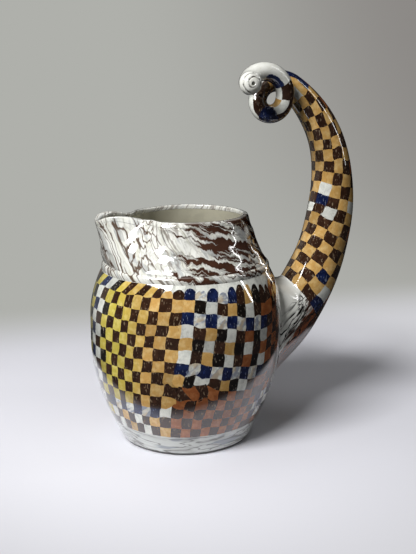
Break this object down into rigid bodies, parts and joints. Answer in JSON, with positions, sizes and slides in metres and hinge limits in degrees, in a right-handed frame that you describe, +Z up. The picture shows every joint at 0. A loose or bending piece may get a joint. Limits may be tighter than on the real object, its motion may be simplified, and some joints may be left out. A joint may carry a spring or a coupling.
{
  "type": "puzzle jug",
  "caption": "Round-bellied ceramic jug inlaid with small clay checks, with a pinched pouring lip and a hollow handle that rises over the mouth and ends in a curl.",
  "frame": {"origin": "middle of the flat face that the jug stands on", "axes": "+Z up, +X towards the handle, with the pouring lip towards -X; the curl steps towards -Y"},
  "size_m": [0.2368, 0.165, 0.3189],
  "materials": {
    "marbled_clay": "marbled white, grey and brown clay under a clear gloss glaze",
    "plain_clay": "plain grey-cream clay under a clear gloss glaze",
    "white_clay": "white clay under a clear gloss glaze",
    "brown_clay": "dark brown clay under a clear gloss glaze",
    "black_clay": "black clay under a clear gloss glaze",
    "yellow_clay": "yellow clay under a clear gloss glaze",
    "tan_clay": "tan clay under a clear gloss glaze",
    "blue_clay": "navy blue clay under a clear gloss glaze",
    "terracotta_clay": "terracotta clay under a clear gloss glaze"
  },
  "bodies": {
    "root": {"base_slab": "marbled_clay", "foot_band": "marbled_clay", "belly_wall": "plain_clay", "joint_coil": "marbled_clay", "neck_wall": "marbled_clay", "lip": "marbled_clay", "rim_coil": "white_clay", "belly_checks_brown": "brown_clay", "belly_checks_yellow": "yellow_clay", "belly_checks_tan": "tan_clay", "belly_checks_black": "black_clay", "belly_checks_white": "white_clay", "belly_checks_blue": "blue_clay", "belly_checks_terracotta": "terracotta_clay", "handle_pad": "marbled_clay", "handle_root": "marbled_clay", "handle_tube": "plain_clay", "handle_checks_brown": "brown_clay", "handle_checks_tan": "tan_clay", "handle_checks_white": "white_clay", "handle_checks_blue": "blue_clay", "handle_checks_terracotta": "terracotta_clay", "curl_tube": "plain_clay", "curl_checks_white": "white_clay", "curl_checks_brown": "brown_clay", "curl_checks_blue": "blue_clay", "curl_checks_tan": "tan_clay", "curl_tip": "marbled_clay"}
  },
  "joints": []
}
